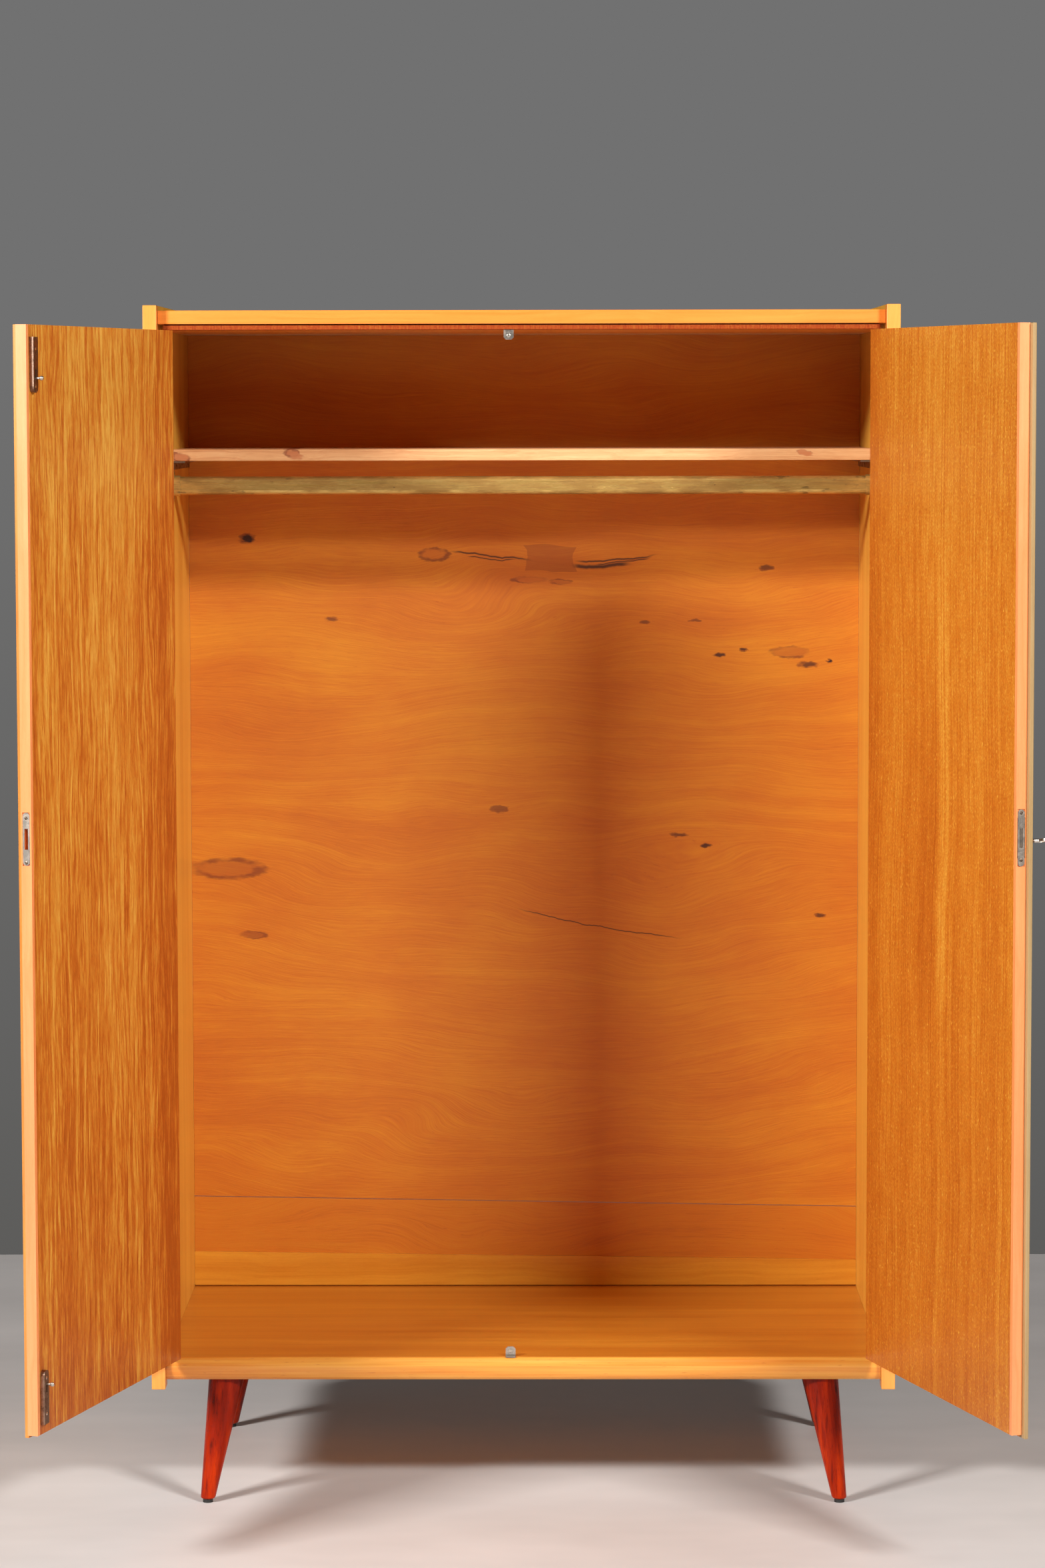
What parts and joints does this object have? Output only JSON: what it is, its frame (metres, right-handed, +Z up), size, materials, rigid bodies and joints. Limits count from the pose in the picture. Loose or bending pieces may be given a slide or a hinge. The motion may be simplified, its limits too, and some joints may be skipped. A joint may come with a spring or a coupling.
{
  "type": "wardrobe",
  "caption": "Two-door wooden wardrobe on splayed tapered legs, doors open, with a hat shelf, a clothes rail, sliding bolts and a lock with its key.",
  "frame": {"origin": "on the ground, below the middle of the wardrobe's box with its doors open as stored", "axes": "+Z up, +Y from the doors to the back, +X to the right as seen from the front"},
  "size_m": [1.5201, 1.1744, 1.932],
  "materials": {
    "veneer": "lacquered",
    "pale_wood": "lacquered",
    "orange_wood": "bare",
    "plywood": "bare",
    "pine": "bare",
    "mahogany": "stained and lacquered",
    "brass": "worn",
    "nickel": "nickel plated",
    "steel": "dull",
    "bronze": "darkened",
    "black_plastic": "moulded"
  },
  "bodies": {
    "carcass": {"side_panel_left": "veneer", "side_panel_right": "veneer", "side_stile_left": "pale_wood", "side_stile_right": "pale_wood", "top_front_rail": "pale_wood", "top_panel": "veneer", "ceiling_front_strip": "orange_wood", "ceiling_panel": "plywood", "ceiling_rear_board": "pine", "bottom_front_rail": "pale_wood", "floor_panel": "veneer", "back_panel_upper": "plywood", "back_panel_lower": "plywood", "back_batten": "orange_wood", "shelf": "pine", "shelf_support_left": "steel", "shelf_support_right": "steel", "clothes_rail": "brass", "rail_socket_left": "brass", "rail_socket_right": "brass", "leg_block_front_left": "pine", "leg_block_front_right": "pine", "leg_block_rear_left": "pine", "leg_block_rear_right": "pine", "leg_front_left": "mahogany", "leg_front_right": "mahogany", "leg_rear_left": "mahogany", "leg_rear_right": "mahogany", "glide_front_left": "black_plastic", "glide_front_right": "black_plastic", "glide_rear_left": "black_plastic", "glide_rear_right": "black_plastic", "top_keeper": "nickel", "bottom_keeper": "nickel", "hinge_side_leaf_left": "nickel", "hinge_side_leaf_right": "nickel", "hinge_pin_left": "steel", "hinge_pin_right": "steel"},
    "left_door": {"left_door_core": "veneer", "left_door_edge_strip": "pale_wood", "left_door_front_panel": "veneer", "strike_plate": "nickel", "hinge_door_leaf_left": "nickel", "top_bolt_housing": "nickel", "bottom_bolt_housing": "nickel"},
    "right_door": {"right_door_core": "veneer", "right_door_edge_strip": "pale_wood", "right_door_front_panel": "veneer", "right_door_meeting_strip": "pale_wood", "lock_case": "steel", "lock_faceplate": "nickel", "key_escutcheon": "bronze", "hinge_door_leaf_right": "nickel"},
    "top_sliding_bolt": {"top_bolt_slide": "steel", "top_bolt_knob": "nickel"},
    "bottom_sliding_bolt": {"bottom_bolt_slide": "steel", "bottom_bolt_knob": "nickel"},
    "lock_tongue": {"lock_bolt": "steel"},
    "turning_key": {"key": "bronze"}
  },
  "joints": [
    {"name": "left_door_hinge", "type": "hinge", "parent": "carcass", "child": "left_door", "pos_m": [-0.5937, -0.03236, 1], "axis": [0, 0, -1], "range_deg": [-107.2, 62.8]},
    {"name": "right_door_hinge", "type": "hinge", "parent": "carcass", "child": "right_door", "pos_m": [0.5553, -0.03236, 1], "axis": [0, 0, 1], "range_deg": [-108.3, 61.7]},
    {"name": "top_bolt_travel", "type": "slide", "parent": "left_door", "child": "top_sliding_bolt", "axis": [0, 0, 1], "range_m": [0, 0.0105]},
    {"name": "bottom_bolt_travel", "type": "slide", "parent": "left_door", "child": "bottom_sliding_bolt", "axis": [0, 0, -1], "range_m": [0, 0.0105]},
    {"name": "key_turn", "type": "hinge", "parent": "right_door", "child": "turning_key", "pos_m": [0.72741, -0.55789, 1.13], "axis": [-0.9494, -0.314, 0], "range_deg": [0, 180]},
    {"name": "lock_bolt_travel", "type": "slide", "parent": "right_door", "child": "lock_tongue", "axis": [0.314, -0.9494, 0], "range_m": [0, 0.008]}
  ],
  "couplings": [
    {"joint": "lock_bolt_travel", "follows": "key_turn", "m_per_rad": 0.0025}
  ]
}
